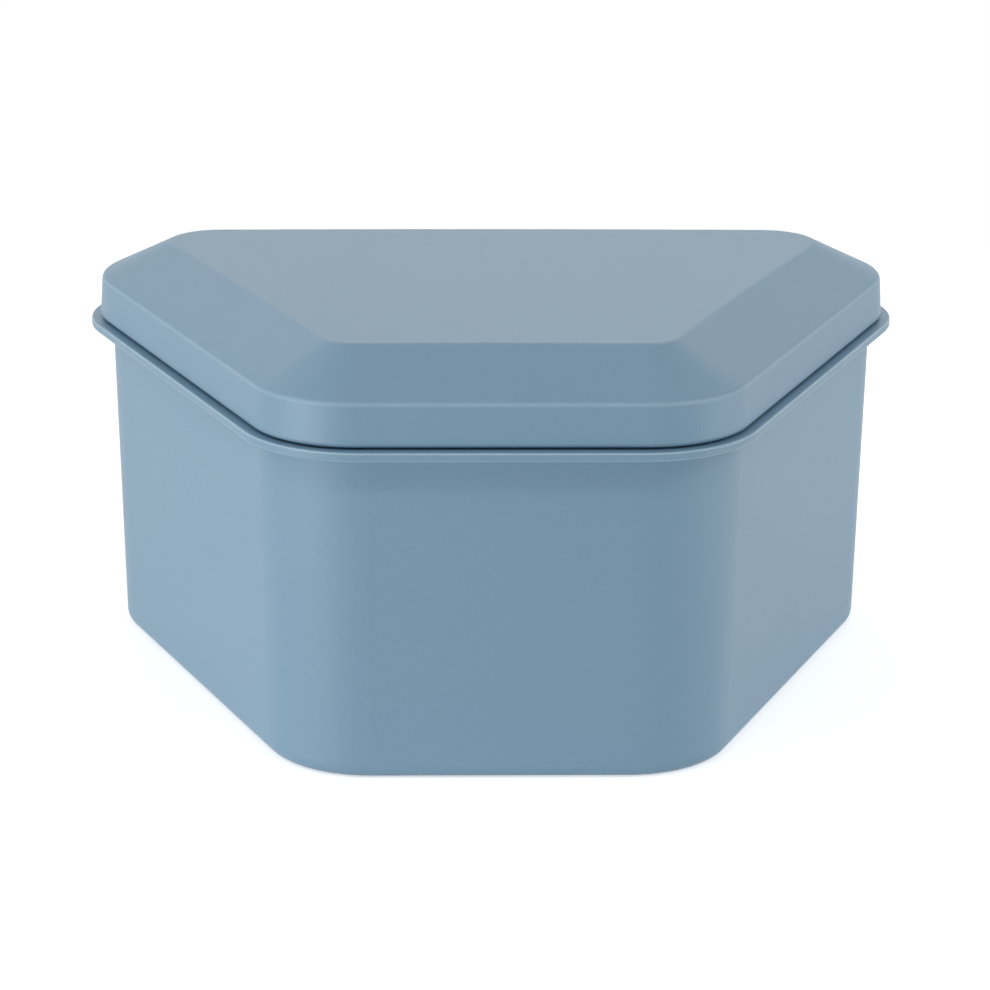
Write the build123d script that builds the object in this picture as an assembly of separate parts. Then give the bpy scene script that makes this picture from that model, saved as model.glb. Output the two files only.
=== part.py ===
"""Denture case: a tapered box with a flanged mouth, a domed lid on two rear hinges,
and a strainer basket that hangs inside and lifts out."""
import os
from math import cos, sin, tan, asin, atan, atan2, degrees, hypot, radians
from build123d import *

# ---- driving dimensions, millimetres and degrees ----

# plan of the flange round the mouth of the box
overall_width = 100.0        # widest, across the rounded back corners
overall_depth = 75.0         # front edge to back edge of the flange
side_angle = 23.5            # angled sides, from the front-to-back direction
flange_corner = 14.5         # plan radius of all four corners

# box
box_height = 39.7            # table to the flange's upper face
flange_thickness = 1.1
flange_round = 0.25          # rounding of the flange's upper outer edge
flange_under_round = 0.3     # the same underneath
lip_round = 0.3              # rounding of the lip's upper edges
flange_overhang = 2.1        # flange edge out past the wall just under it
wall_draft_inset = 0.9       # how far the wall leans in from the flange to the table
box_corner = 12.8            # plan radius of the wall's corners at the table
box_wall = 1.8
floor_thickness = 1.8
foot_height = 0.8            # standing rim under the floor
foot_width = 2.6
bottom_round = 1.6           # rounding between wall and underside
gate_radius = 3.0            # moulding gate, a shallow dish under the floor with a nub
gate_depth = 0.3
gate_nub = 0.7

# lid
skirt_gap = 0.25             # shadow gap between the skirt and the flange
skirt_inset = 0.95           # flange edge to the skirt's lower edge
skirt_height = 5.05
skirt_lean = 0.3             # how far the skirt leans in over its height
dome_height = 4.85           # shoulder to the middle of the top
dome_inset = 8.3             # shoulder to the edge of the top, front and sides
dome_inset_back = 10.35      # the same at the back
lid_corner_front = 12.5      # plan radii of the skirt's corners
lid_corner_back = 14.0
top_corner_front = 3.8       # plan radii of the flat top's corners
top_corner_back = 5.3
top_crown = 0.25             # rise of the top's middle over its edges
lid_wall = 1.2
skirt_round = 0.5            # lower outer edge of the skirt
shoulder_round = 0.8
top_edge_round = 0.8

# snap beads that hold the lid shut
bead_length = 24.0
bead_radius = 0.6
bead_proud = 0.25
bead_height = 2.0            # box bead above the flange
lid_bead_height = 0.5        # lid bead above the skirt's lower edge
lid_bead_proud = 0.2

# hinges
hinge_spacing = 52.0         # between the middles of the two hinges
hinge_setback = 2.0          # pin axis behind the flange's back edge
hinge_rise = 1.8             # pin axis above the flange
barrel_radius = 2.4
pin_radius = 1.0
ear_width = 3.5
knuckle_width = 6.0
knuckle_side_gap = 0.3
hinge_round = 0.3            # edges of the ears and knuckles
gusset_depth = 9.6           # ear's gusset, down the back wall from the pin axis
lid_opening = 110.0          # how far the lid swings before its lugs meet the flange
stop_margin = 1.0            # degrees left at that opening
stop_reach = 3.6             # stop lug, out from the pin axis
stop_width = 1.7
pin_end_recess = 0.2
pin_end_chamfer = 0.25

# strainer basket
rim_height = 32.0            # underside of the basket's rim above the table
rim_thickness = 1.2
rim_round = 0.35
basket_floor_height = 7.0    # underside of the basket above the table
basket_wall = 1.2
basket_floor = 1.4
basket_draft_inset = 3.2     # how far its walls lean in from rim to floor
basket_bottom_round = 3.0
rib_thickness = 1.4
rib_reach = 1.8              # ribs out from the box wall at the rim
rib_spacing = 22.0           # between a wall's two ribs
tab_width = 16.0
tab_height = 6.8             # above the rim
tab_thickness = 1.4
tab_corner = 4.0
tab_round = 0.4              # edges of the tab
grip_count = 3
grip_pitch = 1.6
grip_radius = 0.35
drain_radius = 1.5
drain_pitch = 7.0
slot_width = 2.0
slot_height = 15.0
slot_pitch = 6.4

# clearances
running_fit = 0.07           # knuckle bore over the pin, on the radius
held_fit = 0.02              # ear bore over the pin, on the radius
seat_gap = 0.4               # lid over the box's lip, up and sideways
rib_gap = 0.2                # basket rim over the rib tops
rim_clearance = 0.35         # basket rim inside the wall
rib_clearance = 0.55         # basket wall inside the ribs

# ---- worked-out sizes ----

lean = radians(side_angle)
under_round = min(flange_under_round, flange_thickness - 1.2 * flange_round)
edge_back = hinge_setback + under_round
edge_drop = hinge_rise + flange_thickness - under_round
edge_angle = 180 - degrees(atan2(edge_drop, edge_back))
lug_lead = degrees(asin((stop_width / 2 + under_round) / hypot(edge_drop, edge_back)))
stop_angle = edge_angle - lug_lead - stop_margin - lid_opening
lug_back = stop_reach * cos(radians(stop_angle)) + stop_width / 2 * abs(sin(radians(stop_angle)))
hinge_reach = hinge_setback + max(barrel_radius, lug_back)
flange_back = (overall_depth - hinge_reach) / 2
flange_front = flange_back - overall_depth
corner_x = overall_width / 2 - flange_corner
corner_y = flange_back - flange_corner
side_reach = corner_x * cos(lean) - corner_y * sin(lean) + flange_corner

flange_under = box_height - flange_thickness
wall_inset_foot = flange_overhang + wall_draft_inset
wall_slope = wall_draft_inset / flange_under
floor_top = foot_height + floor_thickness

skirt_bottom = box_height + skirt_gap
shoulder = skirt_bottom + skirt_height
lid_top = shoulder + dome_height
shoulder_inset = skirt_inset + skirt_lean
dome_slope = atan(dome_height / dome_inset)
inner_shoulder = shoulder + lid_wall * (tan(dome_slope) - 1 / cos(dome_slope))
inner_top = lid_top - top_crown - lid_wall
inner_dome_inset = (inner_top - shoulder + lid_wall / cos(dome_slope)) / tan(dome_slope)

lip_top = inner_shoulder - seat_gap
lip_inset = shoulder_inset + lid_wall + seat_gap

hinge_y = flange_back + hinge_setback
hinge_z = box_height + hinge_rise
hinge_width = knuckle_width + 2 * (knuckle_side_gap + ear_width)

rim_top = rim_height + rim_thickness
rib_top = rim_height - rib_gap


def wall_inset(z):
    """Outer face of the box wall, in from the flange edge, at height z."""
    return wall_inset_foot - wall_slope * z


rim_inset = wall_inset(rim_height) + box_wall + rim_clearance
rib_inset = wall_inset(rim_height) + box_wall + rib_reach
basket_inset = rib_inset + rib_clearance
basket_slope = basket_draft_inset / (rim_height - basket_floor_height)


def basket_face_inset(z):
    """Outer face of the basket wall, in from the flange edge, at height z."""
    return basket_inset + basket_slope * (rim_height - z)


# ---- plan outlines ----

def half_width(y, inset):
    """Half the width of the plan at y, before the corners are rounded."""
    return (side_reach - inset + y * sin(lean)) / cos(lean)


def plan(z, inset, front_radius, back_radius, back_extra=0.0):
    """Rounded plan outline drawn in from the flange's edge, as a face at height z."""
    front = flange_front + inset
    back = flange_back - inset - back_extra
    at_front = half_width(front, inset)
    at_back = half_width(back, inset)
    corners = [(-at_front, front), (at_front, front), (at_back, back), (-at_back, back)]
    outline = Polygon(*corners, align=None)
    outline = fillet(outline.vertices().group_by(Axis.Y)[0], front_radius)
    outline = fillet(outline.vertices().group_by(Axis.Y)[-1], back_radius)
    return Pos(0, 0, z) * outline


def box_plan(z, inset):
    """Outline concentric with the box wall."""
    radius = box_corner + wall_inset_foot - inset
    return plan(z, inset, radius, radius)


def lid_plan(z, inset):
    """Outline concentric with the lid's skirt."""
    shrink = inset - skirt_inset
    return plan(z, inset, lid_corner_front - shrink, lid_corner_back - shrink)


def top_plan(z, inset):
    """Outline of the lid's flat top, set further in at the back."""
    return plan(z, inset, top_corner_front, top_corner_back, dome_inset_back - dome_inset)


def ruled(*faces):
    return loft(list(faces), ruled=True)


# ---- frames on the four walls: x along the wall, y inwards, z up ----

side_middle = (corner_y + flange_front + flange_corner) / 2 - flange_corner * sin(lean)


def on_wall(wall, along, inset, z):
    """Place at a distance along a wall, measured from its middle, and in from the flange."""
    if wall == "front":
        return Plane((along, flange_front + inset, z), x_dir=(1, 0, 0), z_dir=(0, 0, 1)).location
    if wall == "back":
        return Plane((along, flange_back - inset, z), x_dir=(-1, 0, 0), z_dir=(0, 0, 1)).location
    side = 1 if wall == "right" else -1
    y = side_middle + inset * sin(lean) + along * cos(lean)
    x = side * half_width(y, inset)
    direction = (side * sin(lean), cos(lean), 0) if side > 0 else (sin(lean), -cos(lean), 0)
    return Plane((x, y, z), x_dir=direction, z_dir=(0, 0, 1)).location


def spread(count, pitch):
    """Positions of a row centred on zero."""
    return [(i - (count - 1) / 2) * pitch for i in range(count)]


def hinge_places():
    return spread(2, hinge_spacing)


def across(profile, middle, width):
    """Side profile, drawn as (y, z) about the pin axis, made into a solid across x."""
    place = Plane((middle - width / 2, hinge_y, hinge_z), x_dir=(0, 1, 0), z_dir=(1, 0, 0))
    solid = extrude(place * profile, width)
    ends = solid.faces().sort_by(Axis.X)
    return fillet(ends[0].edges() + ends[-1].edges(), hinge_round)


# ---- pieces ----

def make_box():
    wall = ruled(box_plan(0, wall_inset_foot), box_plan(flange_under, flange_overhang))
    wall = fillet(wall.edges().group_by(Axis.Z)[0], bottom_round)
    flange = extrude(plan(flange_under, 0, flange_corner, flange_corner), flange_thickness)
    flange = fillet(flange.edges().group_by(Axis.Z)[-1], flange_round)
    flange = fillet(flange.edges().group_by(Axis.Z)[0], under_round)
    lip = extrude(lid_plan(box_height, lip_inset), lip_top - box_height)
    bead_y = flange_front + lip_inset + bead_radius - bead_proud
    bead = Pos(0, bead_y, box_height + bead_height) * Rot(0, 90, 0) * Cylinder(bead_radius, bead_length)
    box = wall + flange + lip + bead + [make_ear(x) for x in ear_places()]

    above = lip_top + 1
    cavity = ruled(box_plan(floor_top, wall_inset(floor_top) + box_wall),
                   box_plan(above, wall_inset(above) + box_wall))
    cavity = fillet(cavity.edges().group_by(Axis.Z)[0], bottom_round)
    box -= cavity - make_ribs()
    recess_inset = wall_inset_foot + bottom_round + foot_width
    box -= extrude(box_plan(0, recess_inset), foot_height) + make_gate_dish()
    lip_edges = box.edges().filter_by(lambda e: abs(e.center().Z - lip_top) < lip_round / 10)
    box = fillet(lip_edges, lip_round)
    bore = Rot(0, 90, 0) * Cylinder(pin_radius + held_fit, hinge_width + 2)
    return box - [Pos(x, hinge_y, hinge_z) * bore for x in hinge_places()]


def make_gate_dish():
    """Hollow that a moulding gate leaves in the underside, with its nub in the middle."""
    middle = (flange_front + flange_back) / 2
    dish = Cylinder(gate_radius, gate_depth) - Cylinder(gate_nub, gate_depth)
    return Pos(0, middle, foot_height + gate_depth / 2) * dish


def make_ribs():
    """Upright ribs inside the box wall that carry the basket's rim."""
    depth = rib_reach + box_wall / 2
    height = rib_top - floor_top + floor_thickness / 2
    ribs = []
    for wall in ("front", "back", "left", "right"):
        for along in spread(2, rib_spacing):
            place = on_wall(wall, along, rib_inset - depth / 2, rib_top - height / 2)
            ribs.append(place * Box(rib_thickness, depth, height))
    return ribs


def ear_places():
    shift = (knuckle_width + ear_width) / 2 + knuckle_side_gap
    return [x + side * shift for x in hinge_places() for side in (-1, 1)]


def make_ear(middle):
    """Ear with a gusset, standing on the flange and running down the back wall."""
    root = flange_overhang + hinge_setback + box_wall / 2
    under_flange = hinge_rise + flange_thickness / 2
    shape = Polygon((-barrel_radius, 0), (-barrel_radius, -under_flange), (-root, -under_flange),
                    (-root, -gusset_depth), (barrel_radius, -barrel_radius / 2), (barrel_radius, 0),
                    align=None)
    return across(shape + Circle(barrel_radius), middle, ear_width)


def make_knuckle(middle):
    """Barrel on the lid, its arm to the skirt, and the lug that stops the lid."""
    root = hinge_setback + skirt_inset + lid_wall / 2
    arm_bottom = skirt_gap - hinge_rise
    arm = Polygon((0, barrel_radius), (-root, barrel_radius), (-root, arm_bottom), (0, arm_bottom),
                  align=None)
    lug = Rot(0, 0, -stop_angle) * Pos(stop_reach / 2, 0) * Rectangle(stop_reach, stop_width)
    return across(Circle(barrel_radius) + arm + lug, middle, knuckle_width)


def make_lid():
    outside = ruled(lid_plan(skirt_bottom, skirt_inset), lid_plan(shoulder, shoulder_inset),
                    top_plan(lid_top, shoulder_inset + dome_inset))
    outside = fillet(outside.edges().group_by(Axis.Z)[0], skirt_round)
    outside = crowned(outside)
    shoulder_edges = outside.edges().filter_by(lambda e: abs(e.center().Z - shoulder) < 0.01)
    outside = fillet(shoulder_edges, shoulder_round)
    top_edges = outside.edges().filter_by(lambda e: e.bounding_box().min.Z > lid_top - 2 * top_crown)
    outside = fillet(top_edges, top_edge_round)

    below = skirt_bottom - 1
    inner_lean = skirt_lean / (inner_shoulder - skirt_bottom)
    inside = ruled(lid_plan(below, skirt_inset + lid_wall - inner_lean),
                   lid_plan(inner_shoulder, shoulder_inset + lid_wall),
                   top_plan(inner_top, shoulder_inset + inner_dome_inset))
    bead_z = skirt_bottom + lid_bead_height
    bead_face = flange_front + skirt_inset + lid_wall + inner_lean * lid_bead_height
    bead_y = bead_face - bead_radius + lid_bead_proud
    bead = Pos(0, bead_y, bead_z) * Rot(0, 90, 0) * Cylinder(bead_radius, bead_length)
    lid = outside - (inside - bead)
    lid += [make_knuckle(x) for x in hinge_places()]
    bore = Rot(0, 90, 0) * Cylinder(pin_radius + running_fit, knuckle_width + 2)
    return lid - [Pos(x, hinge_y, hinge_z) * bore for x in hinge_places()]


def crowned(blank):
    """Top face cut to a shallow dome."""
    half = overall_width / 2 - shoulder_inset - dome_inset
    radius = (half * half + top_crown * top_crown) / (2 * top_crown)
    middle = (flange_front + flange_back) / 2
    return blank & (Pos(0, middle, lid_top - radius) * Rot(90, 0, 0) * Sphere(radius))


def make_pin(middle):
    pin = Cylinder(pin_radius, hinge_width - 2 * pin_end_recess)
    pin = chamfer(pin.edges().filter_by(GeomType.CIRCLE), pin_end_chamfer)
    return Pos(middle, hinge_y, hinge_z) * Rot(0, 90, 0) * pin


def make_basket():
    body = ruled(box_plan(basket_floor_height, basket_face_inset(basket_floor_height)),
                 box_plan(rim_top, basket_face_inset(rim_top)))
    body = fillet(body.edges().group_by(Axis.Z)[0], basket_bottom_round)
    rim = extrude(box_plan(rim_height, rim_inset), rim_thickness)
    rim_edges = rim.edges().group_by(Axis.Z)
    rim = fillet(rim_edges[0] + rim_edges[-1], rim_round)
    floor_face = basket_floor_height + basket_floor
    above = rim_top + 1
    hollow = ruled(box_plan(floor_face, basket_face_inset(floor_face) + basket_wall),
                   box_plan(above, basket_face_inset(above) + basket_wall))
    hollow = fillet(hollow.edges().group_by(Axis.Z)[0], basket_bottom_round - basket_wall)
    basket = body + rim - hollow
    basket += [make_tab(wall) for wall in ("left", "right")]
    return basket - make_drains() - make_slots()


def make_tab(wall):
    """Upright finger tab with grip ridges, standing on the rim."""
    overlap = rim_thickness
    height = tab_height + overlap
    plate = Rectangle(tab_width, height)
    plate = fillet(plate.vertices().group_by(Axis.Y)[-1], tab_corner)
    tab = extrude(plate, tab_thickness / 2, both=True)
    faces = tab.faces().sort_by(Axis.Z)
    tab = Rot(90, 0, 0) * fillet(faces[0].edges() + faces[-1].edges(), tab_round)
    for step in spread(grip_count, grip_pitch):
        ridge = Pos(0, -tab_thickness / 2, step + overlap) * Rot(0, 90, 0)
        tab += ridge * Cylinder(grip_radius, tab_width - 2 * tab_corner)
    inset = basket_face_inset(rim_top) + tab_thickness / 2
    return on_wall(wall, 0, inset, rim_top - overlap + height / 2) * tab


def make_drains():
    """Round holes through the basket's floor, in staggered rows."""
    margin = basket_face_inset(basket_floor_height) + basket_bottom_round + drain_radius
    middle = (flange_front + flange_back) / 2
    row_pitch = drain_pitch * cos(radians(30))
    rows = int(overall_depth / row_pitch)
    columns = int(overall_width / drain_pitch)
    floor_middle = basket_floor_height + basket_floor / 2
    holes = []
    for row, y_step in enumerate(spread(rows, row_pitch)):
        y = middle + y_step
        if not flange_front + margin <= y <= flange_back - margin:
            continue
        for x_step in spread(columns, drain_pitch):
            x = x_step + (row % 2) * drain_pitch / 2
            if abs(x) <= half_width(y, margin):
                holes.append(Pos(x, y, floor_middle) * Cylinder(drain_radius, 2 * basket_floor))
    return holes


def make_slots():
    """Upright slots through the basket's walls."""
    middle = (basket_floor_height + rim_height) / 2
    inset = basket_face_inset(middle) + basket_wall / 2
    counts = {"front": 5, "back": 9, "left": 6, "right": 6}
    slots = []
    for wall, count in counts.items():
        for along in spread(count, slot_pitch):
            shape = extrude(SlotOverall(slot_height, slot_width, rotation=90), 4 * basket_wall, both=True)
            slots.append(on_wall(wall, along, inset, middle) * Rot(90, 0, 0) * shape)
    return slots


os.makedirs("parts", exist_ok=True)
left, right = hinge_places()
export_step(make_box(), "parts/base_box.step")
export_step(make_lid(), "parts/lid.step")
export_step(make_pin(left), "parts/left_hinge_pin.step")
export_step(make_pin(right), "parts/right_hinge_pin.step")
export_step(make_basket(), "parts/strainer_basket.step")
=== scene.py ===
"""Denture case: finishes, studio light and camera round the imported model."""
from math import cos, radians, sin

import bpy
from mathutils import Matrix, Vector

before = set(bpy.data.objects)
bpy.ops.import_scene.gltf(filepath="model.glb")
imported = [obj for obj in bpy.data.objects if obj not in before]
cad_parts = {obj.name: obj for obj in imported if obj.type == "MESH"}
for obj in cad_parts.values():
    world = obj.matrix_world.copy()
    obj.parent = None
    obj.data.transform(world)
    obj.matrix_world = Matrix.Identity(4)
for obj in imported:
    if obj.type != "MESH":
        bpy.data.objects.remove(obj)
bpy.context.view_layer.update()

# ---- camera, metres and degrees ----

camera_lens = 132.8                  # millimetres
camera_sensor = 36.0                 # millimetres
camera_distance = 0.4415
camera_azimuth = -1.30
camera_elevation = 17.61
camera_roll = 0.34
camera_nearest = 0.01
look_at = Vector((0.00005, -0.0028, 0.0230))

# ---- light: share of full brightness that each lamp gives a white surface facing it ----

room_light = 0.245
full_light_watts = 9.87              # lights such a surface fully from one metre away
lamps = {
    # name: (azimuth, elevation, distance, width, height, share)
    # The two low ones stay under the lid's top, so they leave no glare on it from behind.
    "left_softbox": (-53, 0, 0.46, 0.30, 0.046, 0.42),
    "left_high_softbox": (-80, 40, 0.9, 0.5, 0.4, 0.17),
    "right_softbox": (76, 0, 0.46, 0.30, 0.046, 0.225),
    "right_high_softbox": (64, 40, 0.9, 0.5, 0.4, 0.17),
    "back_softbox": (180, 40, 0.9, 0.8, 0.6, 0.155),
    "front_strip": (-6, 60, 0.9, 0.8, 0.06, 0.15),
}

# ---- floor ----

floor_size = 0.44
floor_white = (0.92, 0.92, 0.92)
floor_roughness = 0.9
floor_own_light = 0.55               # seen by the camera and in reflections only

# ---- finishes: sizes in metres, and each roughness from low to high ----

plastic_ior = 1.54
cloud_strength = (0.0, 1.0)

case_blue = (0.190, 0.325, 0.44)
case_blue_deep = (0.182, 0.315, 0.43)
case_cloud_size = 0.03
case_roughness = (0.38, 0.48)
case_grain_size = 0.00018
case_grain_detail = 3.0
case_grain_sharpness = 0.6
case_grain_depth = 0.00004

# Painted highlights: a paler blue painted in thin bands along the lid's shoulder and the flange's
# top and lower edges, standing in for light caught by these rounded edges.
painted_highlight_blue = (0.40, 0.55, 0.64)
highlight_band_polish = 0.15                   # how much less rough the edges under the painted highlight bands are
highlight_patch_size = 0.004
highlight_patch_detail = 3.0
highlight_patch_strength = (0.75, 1.0)
highlight_band_core = 0.4                 # share of a band's half height that is at full strength
painted_highlight_bands = {
    # painted highlight along an edge: (middle height, half its height, how strong)
    "shoulder": (0.04482, 0.00028, 0.34),
    "flange_top_edge": (0.03957, 0.00012, 0.75),
    "flange_low_edge": (0.03870, 0.00016, 0.55),
}

basket_white = (0.80, 0.815, 0.82)
basket_white_deep = (0.76, 0.785, 0.80)
basket_cloud_size = 0.02
basket_roughness = (0.30, 0.38)
basket_grain_size = 0.0003
basket_grain_depth = 0.000006

steel_dark = (0.60, 0.60, 0.61)
steel_light = (0.68, 0.68, 0.69)
steel_roughness = (0.22, 0.34)
steel_stretch = (0.04, 1, 1)         # draws the lines out along the pin
steel_line_size = 0.0001
steel_line_depth = 0.000003


# ---- material helpers ----

def new_material(name):
    """An empty node material with its output and main shader."""
    material = bpy.data.materials.new(name)
    material.use_nodes = True
    tree = material.node_tree
    tree.nodes.clear()
    output = tree.nodes.new("ShaderNodeOutputMaterial")
    shader = tree.nodes.new("ShaderNodeBsdfPrincipled")
    tree.links.new(shader.outputs["BSDF"], output.inputs["Surface"])
    return material, tree, shader


def object_place(tree):
    """Where a point lies on its piece, in metres."""
    return tree.nodes.new("ShaderNodeTexCoord").outputs["Object"]


def noise(tree, place, feature, detail=2.0, sharpness=0.5):
    """Noise whose features are about that many metres across."""
    made = tree.nodes.new("ShaderNodeTexNoise")
    made.inputs["Scale"].default_value = 1 / feature
    made.inputs["Detail"].default_value = detail
    made.inputs["Roughness"].default_value = sharpness
    tree.links.new(place, made.inputs["Vector"])
    return made.outputs["Fac"]


def ramp(tree, value, start, end, low, high):
    """low up to start, high from end on, and a straight run between."""
    made = tree.nodes.new("ShaderNodeMapRange")
    made.inputs["From Min"].default_value = start
    made.inputs["From Max"].default_value = end
    made.inputs["To Min"].default_value = low
    made.inputs["To Max"].default_value = high
    tree.links.new(value, made.inputs["Value"])
    return made.outputs["Result"]


def spread(tree, pattern, limits):
    """A noise, which mostly lies between 0.3 and 0.7, stretched over the limits."""
    return ramp(tree, pattern, 0.3, 0.7, *limits)


def tint(tree, value, first, second):
    """From first, a colour or a node's output, to the colour second as the value rises."""
    made = tree.nodes.new("ShaderNodeMix")
    made.data_type = "RGBA"
    if isinstance(first, tuple):
        made.inputs["A"].default_value = (*first, 1)
    else:
        tree.links.new(first, made.inputs["A"])
    made.inputs["B"].default_value = (*second, 1)
    tree.links.new(value, made.inputs["Factor"])
    return made.outputs["Result"]


def bump(tree, height, depth):
    """Normals for a pattern raised by that many metres."""
    made = tree.nodes.new("ShaderNodeBump")
    made.inputs["Distance"].default_value = depth
    tree.links.new(height, made.inputs["Height"])
    return made.outputs["Normal"]


def maths(tree, operation, first, second=None):
    """A Math node on one output and, where it takes two values, a number or another output."""
    made = tree.nodes.new("ShaderNodeMath")
    made.operation = operation
    tree.links.new(first, made.inputs[0])
    if isinstance(second, float):
        made.inputs[1].default_value = second
    elif second is not None:
        tree.links.new(second, made.inputs[1])
    return made.outputs["Value"]


# ---- materials ----

def painted_edge_highlights(tree, place):
    """0 to 1: painted highlight along the moulded edges, in bands at their heights, broken up by
    patches.
    """
    split = tree.nodes.new("ShaderNodeSeparateXYZ")
    tree.links.new(place, split.inputs["Vector"])
    patches = noise(tree, place, highlight_patch_size, highlight_patch_detail)
    total = None
    for middle, half, band_strength in painted_highlight_bands.values():
        away = maths(tree, "ABSOLUTE", maths(tree, "SUBTRACT", split.outputs["Z"], middle))
        band = ramp(tree, away, half * highlight_band_core, half, band_strength, 0.0)
        total = band if total is None else maths(tree, "MAXIMUM", total, band)
    return maths(tree, "MULTIPLY", total, spread(tree, patches, highlight_patch_strength))


def case_plastic(name):
    """Blue moulded plastic: faint clouds, a fine grain, and painted highlights along the edges,
    which are also made smoother.
    """
    material, tree, shader = new_material(name)
    place = object_place(tree)
    cloud = spread(tree, noise(tree, place, case_cloud_size), cloud_strength)
    edge_highlight = painted_edge_highlights(tree, place)
    blue = tint(tree, cloud, case_blue, case_blue_deep)
    # Painted highlight: the edge bands are tinted towards a paler blue.
    tree.links.new(tint(tree, edge_highlight, blue, painted_highlight_blue), shader.inputs["Base Color"])
    grain = noise(tree, place, case_grain_size, case_grain_detail, case_grain_sharpness)
    rough = spread(tree, grain, case_roughness)
    smooth = maths(tree, "SUBTRACT", rough, maths(tree, "MULTIPLY", edge_highlight, highlight_band_polish))
    tree.links.new(smooth, shader.inputs["Roughness"])
    tree.links.new(bump(tree, grain, case_grain_depth), shader.inputs["Normal"])
    shader.inputs["IOR"].default_value = plastic_ior
    return material


def basket_plastic(name):
    """White moulded plastic with a satin face."""
    material, tree, shader = new_material(name)
    place = object_place(tree)
    cloud = spread(tree, noise(tree, place, basket_cloud_size), cloud_strength)
    tree.links.new(tint(tree, cloud, basket_white, basket_white_deep), shader.inputs["Base Color"])
    grain = noise(tree, place, basket_grain_size)
    tree.links.new(spread(tree, grain, basket_roughness), shader.inputs["Roughness"])
    tree.links.new(bump(tree, grain, basket_grain_depth), shader.inputs["Normal"])
    shader.inputs["IOR"].default_value = plastic_ior
    return material


def drawn_steel(name):
    """Steel wire with fine lines along it from drawing."""
    material, tree, shader = new_material(name)
    along = tree.nodes.new("ShaderNodeMapping")
    along.inputs["Scale"].default_value = steel_stretch
    tree.links.new(object_place(tree), along.inputs["Vector"])
    lines = noise(tree, along.outputs["Vector"], steel_line_size)
    tree.links.new(tint(tree, lines, steel_dark, steel_light), shader.inputs["Base Color"])
    tree.links.new(spread(tree, lines, steel_roughness), shader.inputs["Roughness"])
    tree.links.new(bump(tree, lines, steel_line_depth), shader.inputs["Normal"])
    shader.inputs["Metallic"].default_value = 1.0
    return material


def finish_nodes():
    """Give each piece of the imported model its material."""
    blue = case_plastic("case_plastic_grained")
    steel = drawn_steel("pin_steel_drawn")
    finishes = {
        "base_box": blue,
        "lid": blue,
        "left_hinge_pin": steel,
        "right_hinge_pin": steel,
        "strainer_basket": basket_plastic("basket_plastic_satin"),
    }
    for name, material in finishes.items():
        for material_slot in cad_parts[name].material_slots:
            material_slot.material = material


# ---- surroundings ----

def background_rays(tree):
    """1 for rays from the camera, in reflections and through clear things, otherwise 0."""
    path = tree.nodes.new("ShaderNodeLightPath")
    mirrored = maths(tree, "MAXIMUM", path.outputs["Is Camera Ray"], path.outputs["Is Glossy Ray"])
    return maths(tree, "MAXIMUM", mirrored, path.outputs["Is Transmission Ray"])


def make_room():
    """An even pale light, with plain white behind the object."""
    world = bpy.data.worlds.new("studio")
    bpy.context.scene.world = world
    world.use_nodes = True
    tree = world.node_tree
    tree.nodes.clear()
    output = tree.nodes.new("ShaderNodeOutputWorld")
    light = tree.nodes.new("ShaderNodeBackground")
    light.inputs["Strength"].default_value = room_light
    light.inputs["Color"].default_value = (1, 1, 1, 1)
    white = tree.nodes.new("ShaderNodeBackground")
    white.inputs["Color"].default_value = (1, 1, 1, 1)
    choice = tree.nodes.new("ShaderNodeMixShader")
    tree.links.new(background_rays(tree), choice.inputs["Fac"])
    tree.links.new(light.outputs["Background"], choice.inputs[1])
    tree.links.new(white.outputs["Background"], choice.inputs[2])
    tree.links.new(choice.outputs["Shader"], output.inputs["Surface"])


def make_floor():
    """A small white table top under the case."""
    bpy.ops.mesh.primitive_plane_add(size=floor_size)
    floor = bpy.context.object
    floor.name = "floor"
    material, tree, shader = new_material("floor_paper")
    shader.inputs["Base Color"].default_value = (*floor_white, 1)
    shader.inputs["Roughness"].default_value = floor_roughness
    shader.inputs["Specular IOR Level"].default_value = 0.0
    shader.inputs["Emission Color"].default_value = (1, 1, 1, 1)
    own_light = maths(tree, "MULTIPLY", background_rays(tree), floor_own_light)
    tree.links.new(own_light, shader.inputs["Emission Strength"])
    floor.data.materials.append(material)


def direction(azimuth, elevation):
    """Unit vector to something at that bearing: azimuth 0 is towards -Y and 90 towards +X."""
    around = radians(azimuth)
    above = radians(elevation)
    return Vector((sin(around) * cos(above), -cos(around) * cos(above), sin(above)))


def make_lamps():
    """Softboxes that face the case from their bearings."""
    for name, (azimuth, elevation, distance, width, height, share) in lamps.items():
        data = bpy.data.lights.new(name, "AREA")
        data.shape = "RECTANGLE"
        data.size = width
        data.size_y = height
        data.energy = share * full_light_watts * distance * distance
        lamp = bpy.data.objects.new(name, data)
        bpy.context.scene.collection.objects.link(lamp)
        back = direction(azimuth, elevation)
        lamp.rotation_euler = back.to_track_quat("Z", "Y").to_euler()
        lamp.location = look_at + back * distance


def make_camera():
    """The scene's camera, aimed at look_at and turned by its roll."""
    data = bpy.data.cameras.new("camera")
    data.sensor_width = camera_sensor
    data.lens = camera_lens
    data.clip_start = camera_nearest
    camera = bpy.data.objects.new("camera", data)
    bpy.context.scene.collection.objects.link(camera)
    back = direction(camera_azimuth, camera_elevation)
    level = Vector((0, 0, 1)).cross(back).normalized()
    upright = back.cross(level)
    turn = radians(camera_roll)
    right = level * cos(turn) + upright * sin(turn)
    up = upright * cos(turn) - level * sin(turn)
    spot = look_at + back * camera_distance
    camera.matrix_world = Matrix.Translation(spot) @ Matrix((right, up, back)).transposed().to_4x4()
    bpy.context.scene.camera = camera


bpy.ops.object.select_all(action="DESELECT")
make_camera()
finish_nodes()
make_room()
make_floor()
make_lamps()
bpy.context.scene.view_settings.view_transform = "Standard"
